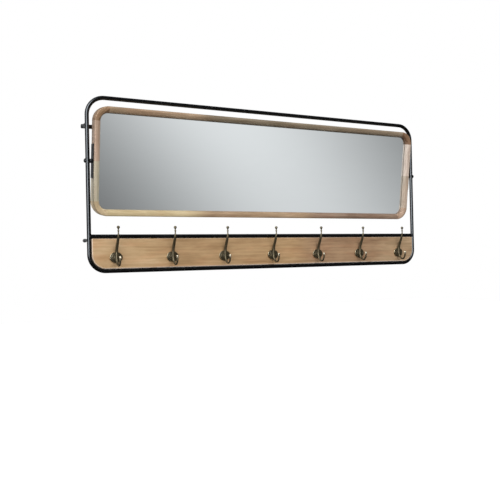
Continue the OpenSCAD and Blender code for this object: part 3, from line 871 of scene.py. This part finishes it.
def eased_copy(node, name, width):
    """The CAD solid with its sharp edges eased, as a filed or tumbled piece has them."""
    piece = twin(cad[node], name)
    piece.parent = None
    piece.matrix_world = Matrix.Identity(4)
    piece.hide_render = piece.hide_viewport = False
    open_merged(piece)
    bpy.ops.mesh.dissolve_limited(angle_limit=math.radians(1.0))
    close_mesh()
    apply_last(piece, "BEVEL", width=mm(width), segments=2, limit_method="ANGLE",
               angle_limit=math.radians(35), use_clamp_overlap=True)
    shade(piece)
    return piece


for side, word in ((-1, "left"), (1, "right")):
    bolt = set_down(pivot_bolt(f"{word}_button_bolt"),
                    hung(side * PANEL_HALF_W, 0, 0, spun((side, 0, 0), 12 * side)))
    fit(bolt, "mirror_panel", fitting_black, "black_fittings", f"{word}_pivot_bolt")
    for part, width in (("pivot_plate", 0.5), ("pivot_spacer", 0.4)):
        piece = eased_copy(f"{word}_{part}", f"{word}_eased_{part}", width)
        fit(piece, "mirror_panel", fitting_black, "black_fittings", f"{word}_{part}")

# --------------------------------------------------------------- wall frame details

fit(eased_copy("wall_eyes", "eased_wall_eyes", 0.4),
    "wall_frame", satin_black, "satin_black", "wall_eyes")
fit(eased_copy("board_tabs", "eased_board_tabs", 0.4),
    "wall_frame", satin_black, "satin_black", "board_tabs")

FOOT = [  # radius and height from the wall, up its ribs and then back down its bore
    (3.6, 0), (4.6, 0.1), (5.05, 0.5), (5.25, 1.2), (5.25, 3.4), (4.95, 3.7), (4.95, 4.5),
    (5.25, 4.8), (5.25, 6.2), (4.95, 6.5), (4.95, 7.3), (5.25, 7.6), (5.25, 11.2), (5, 11.8),
    (4.6, 12), (4.05, 12), (4.05, 4.1), (3.6, 4),
]
foot = turned("ribbed_foot", FOOT)
shade(foot, 50)
fit(repeat(foot, "ribbed_feet",
           [at(side * SIDE_TUBE_X, 0, FOOT_PEG_Z, facing((0, -1, 0))) for side in (-1, 1)]),
    "wall_frame", foot_rubber, "foot_rubber", "rubber_feet")

PLUG_FLANGE = 1.2
REAR_BAR_HALF = SIDE_TUBE_X + ROD_R - PLUG_FLANGE
PLUG = [  # radius and height from the bar's end, from the inner ribs to the dome
    (3.6, -8), (4.3, -7.2), (4.45, -6.4), (4.2, -5.9), (4.2, -5.1), (4.45, -4.6), (4.2, -4.1),
    (4.2, -3.3), (4.45, -2.8), (4.45, 0), (5.8, 0), (6.0, 0.2), (5.85, 0.6), (5.2, 0.9),
    (3.6, 1.1), (1.6, 1.2),
]
plug = turned("domed_plug", PLUG)
shade(plug, 40)
fit(repeat(plug, "domed_plugs",
           [at(side * REAR_BAR_HALF, REAR_BAR_Y, REAR_BAR_Z, facing((side, 0, 0)))
            for side in (-1, 1)]),
    "wall_frame", plug_plastic, "plug_plastic", "rear_bar_plugs")


COPED_BEAD_R, COPED_BEAD_STEPS = 1.15, 64
EYE_BEAD_R, EYE_BEAD_STEPS = 1.1, 16
EYE_BEADS = ((-1.3, 4.6), (-3.8, 5.2))  # Y, and height above the rear bar's middle
TAB_BEAD_R, TAB_BEAD_STEPS = 0.8, 8
TAB_BEAD_HALF_L = 2.4
TAB_BEAD_Y = FRAME_Y + TUBE_R + 0.2


def coped_weld(name, bar_r, middle, bar_way, tube_way):
    """A weld bead round the end of a bar that is coped to a tube."""
    bar_way, tube_way = Vector(bar_way), Vector(tube_way)
    across = bar_way.cross(tube_way)
    line = []
    for i in range(COPED_BEAD_STEPS):
        a = 2 * math.pi * i / COPED_BEAD_STEPS
        out = math.sqrt(max(TUBE_R ** 2 - (bar_r * math.sin(a)) ** 2, 0))
        spot = (Vector(middle) + bar_way * out
                + (tube_way * math.cos(a) + across * math.sin(a)) * bar_r)
        ripple = 1 + 0.10 * math.sin(9 * a) + 0.05 * math.sin(23 * a)
        line.append((spot * MM, COPED_BEAD_R * ripple))
    return round_bar(name, line, closed=True)


def straight_weld(name, start, end, bead, steps):
    """A weld bead along the edge of a flat tab, thinner at both ends."""
    line = []
    for i in range(steps + 1):
        taper = min(1, 0.55 + 3 * min(i, steps - i) / steps)
        ripple = 1 + 0.08 * math.sin(2.6 * i)
        line.append((Vector(start).lerp(Vector(end), i / steps) * MM, bead * taper * ripple))
    return round_bar(name, line)


welds = []
for side in (-1, 1):
    welds.append(coped_weld("bar_weld", TUBE_R, (side * SIDE_TUBE_X, FRAME_Y, CROSS_BAR_Z),
                            (-side, 0, 0), (0, 0, 1)))
    for z, rod_r in ((REAR_BAR_Z, ROD_R), (FOOT_PEG_Z, PEG_R)):
        welds.append(coped_weld("rod_weld", rod_r, (side * SIDE_TUBE_X, FRAME_Y, z),
                                (0, 1, 0), (0, 0, 1)))
    welds.append(coped_weld("rear_weld", ROD_R, (side * SIDE_TUBE_X, REAR_BAR_Y, REAR_BAR_Z),
                            (0, -1, 0), (1, 0, 0)))
    for y, rise in EYE_BEADS:
        start, end = ((side * EYE_X + way * EYE_HALF_W, y, REAR_BAR_Z + rise) for way in (-1, 1))
        welds.append(straight_weld("eye_weld", start, end, EYE_BEAD_R, EYE_BEAD_STEPS))
for x in TAB_X:
    for z in (CROSS_BAR_Z, BOTTOM_TUBE_Z):
        for way in (-1, 1):
            start, end = ((x + way * TAB_HALF_W, TAB_BEAD_Y, z + part * TAB_BEAD_HALF_L)
                          for part in (-1, 1))
            welds.append(straight_weld("tab_weld", start, end, TAB_BEAD_R, TAB_BEAD_STEPS))
weld_runs = combine(welds, "weld_beads")
shade(weld_runs, 60)
fit(weld_runs, "wall_frame", satin_black, "satin_black")

# --------------------------------------------------------------------------- studio

CAMERA_AT = (-1.1514, -1.9808, -0.4005)
HEADING, PITCH, ROLL = (math.radians(a) for a in (29.02, 0.57, -1.20))
LENS, SENSOR = 50.4, 36
FLOOR_Z = -1.6


def set_camera():
    """Stands the camera where the photograph was taken from."""
    ahead = Vector((math.sin(HEADING) * math.cos(PITCH), math.cos(HEADING) * math.cos(PITCH),
                    math.sin(PITCH)))
    level = Vector((math.cos(HEADING), -math.sin(HEADING), 0))
    upright = level.cross(ahead)
    across = math.cos(ROLL) * level + math.sin(ROLL) * upright
    upward = -math.sin(ROLL) * level + math.cos(ROLL) * upright
    camera = bpy.data.objects.new("Camera", bpy.data.cameras.new("Camera"))
    bpy.context.scene.collection.objects.link(camera)
    camera.data.lens = LENS
    camera.data.sensor_width = SENSOR
    turn = Matrix((across, upward, -ahead)).transposed().to_4x4()
    camera.matrix_world = Matrix.Translation(CAMERA_AT) @ turn
    bpy.context.scene.camera = camera


def soft_light(name, place, aim, size, watts):
    """A sheet of light at a place, turned towards its aim. Glossy finishes don't show it."""
    light = bpy.data.lights.new(name, "AREA")
    light.shape = "RECTANGLE"
    light.size, light.size_y = size
    light.energy = watts
    lamp = bpy.data.objects.new(name, light)
    lamp.visible_glossy = False
    bpy.context.scene.collection.objects.link(lamp)
    turn = facing(Vector(place) - Vector(aim))
    lamp.matrix_world = Matrix.Translation(place) @ turn.to_4x4()


def bearing(degrees_right, degrees_up):
    """A direction out from the front of the mirror."""
    a, e = math.radians(degrees_right), math.radians(degrees_up)
    return Vector((math.sin(a) * math.cos(e), -math.cos(a) * math.cos(e), math.sin(e)))


# The studio as it looks from the rack. How far a ray's way lies along a direction, from -1 to 1,
# says how much of a light it meets. A fade is the two such values between which a light comes
# up, and then its levels there where they aren't 0 and 1.
TALL_LIGHT_LINE = (bearing(28.76, -4), bearing(33.07, -9))
TALL_LIGHT_FALL = -33.75
TALL_LIGHT_SLOPE, TALL_LIGHT_LEVEL = 0.889, 0.742
MIRROR_DARK = 0.104
MIRROR_VIEW, MIRROR_VIEW_FADE = bearing(30, -8), (0.80, 0.955)
STUDIO_BRIGHT, STUDIO_FADE = bearing(10, 25), (-0.7, 1.0, 0.16, 0.80)
WINDOW, WINDOW_FADE = bearing(-40, 12), (0.60, 0.85)
WINDOW_ACROSS, WINDOW_SIDES = bearing(50, 0), (0.30, 0.50)
WINDOW_SILL = (-0.14, -0.04)
WINDOW_LEVEL = 5.0
SIDE_WALL, SIDE_WALL_FADE = bearing(-50, 10), (0.3, 1.0, 0.0, 0.8)
ROOM_FADE, ROOM_WALL_FADE = (-0.2, 0.9, 0.01, 0.06), (0.6, 0.95, 0.0, 0.35)
CEILING_FADE, BACK_WALL_FADE = (-0.4, 0.9, 0.05, 0.60), (0.0, 0.5, 0.0, 0.6)


def set_world():
    """A dim studio, lit softly from the front right.

    Blank white shows behind the rack, as a pale wall does, and some light comes back from it.
    The mirror, the one sharp reflector, sees a tall soft light to the front right of a pale
    studio. The softer gloss of the rest sees a dark room with a window on the left.
    """
    world = bpy.data.worlds.new("studio_room")
    world.use_nodes = True
    bpy.context.scene.world = world
    world.node_tree.nodes.clear()
    sky = Patterns(world.node_tree)
    way = sky.made("ShaderNodeTexCoord", "Generated")

    def along(direction):
        return sky.vectors("DOT_PRODUCT", way, direction)

    def times(one, *others):
        for other in others:
            one = sky.maths("MULTIPLY", one, other)
        return one

    def plus(one, *others):
        for other in others:
            one = sky.maths("ADD", one, other)
        return one

    def between(share, one, other):
        return plus(times(sky.maths("SUBTRACT", 1.0, share), one), times(share, other))

    height = along((0, 0, 1))
    behind = along((0, 1, 0))
    off_line = along(TALL_LIGHT_LINE[0].cross(TALL_LIGHT_LINE[1]).normalized())
    glow = sky.maths("EXPONENT", times(off_line, off_line, TALL_LIGHT_FALL))
    strength = sky.maths("MULTIPLY_ADD", height, TALL_LIGHT_SLOPE, TALL_LIGHT_LEVEL)
    tall_light = sky.maths("MULTIPLY_ADD", glow, strength, MIRROR_DARK)
    in_mirror = between(sky.spread(along(MIRROR_VIEW), *MIRROR_VIEW_FADE),
                        sky.spread(along(STUDIO_BRIGHT), *STUDIO_FADE), tall_light)
    window = times(sky.spread(along(WINDOW), *WINDOW_FADE), sky.spread(height, *WINDOW_SILL),
                   sky.spread(sky.maths("ABSOLUTE", along(WINDOW_ACROSS)), *WINDOW_SIDES,
                              WINDOW_LEVEL, 0.0))
    room = plus(sky.spread(height, *ROOM_FADE), window, sky.spread(behind, *ROOM_WALL_FADE))
    falls_on = plus(sky.spread(along(SIDE_WALL), *SIDE_WALL_FADE),
                    sky.spread(behind, *BACK_WALL_FADE), sky.spread(height, *CEILING_FADE))
    rays = sky.tree.nodes.new("ShaderNodeLightPath").outputs
    level = between(rays["Is Glossy Ray"], falls_on, room)
    level = between(rays["Is Singular Ray"], level, in_mirror)
    level = between(rays["Is Camera Ray"], level, 1.0)
    light = sky.made("ShaderNodeBackground", "Background",
                     {"Color": (1.0, 1.0, 1.0, 1), "Strength": level})
    sky.feed(sky.tree.nodes.new("ShaderNodeOutputWorld"), {"Surface": light})


def set_floor():
    """A plain pale floor, at the height of a hall's floor below the rack."""
    clear_bench()
    bpy.ops.mesh.primitive_plane_add(size=24, location=(0, 0, 0), enter_editmode=True)
    bpy.ops.transform.translate(value=(0, 0, FLOOR_Z))
    close_mesh()
    floor = name_piece(bpy.context.object, "pale_floor")
    paint = Finish("pale_floor_paint", Roughness=0.9, Emission_Color=(1, 1, 1, 1),
                   Emission_Strength=0.75)
    paint.colour(paint.tones(paint.noise(1.5), [(0.3, (0.93, 0.93, 0.93, 1)),
                                                (0.7, (0.96, 0.96, 0.96, 1))]))
    floor.data.materials.append(paint.material)
    floor.visible_glossy = False
    floor.visible_diffuse = False


set_camera()
set_world()
set_floor()
soft_light("key_light", place=(0.4, -2.3, 0.7), aim=(-0.15, 0, -0.25), size=(2.4, 1.8), watts=36)
soft_light("left_light", place=(-2.6, -1.0, 0.2), aim=(0.3, 0, -0.2), size=(1.6, 1.6), watts=11)
bpy.context.scene.view_settings.view_transform = "Standard"
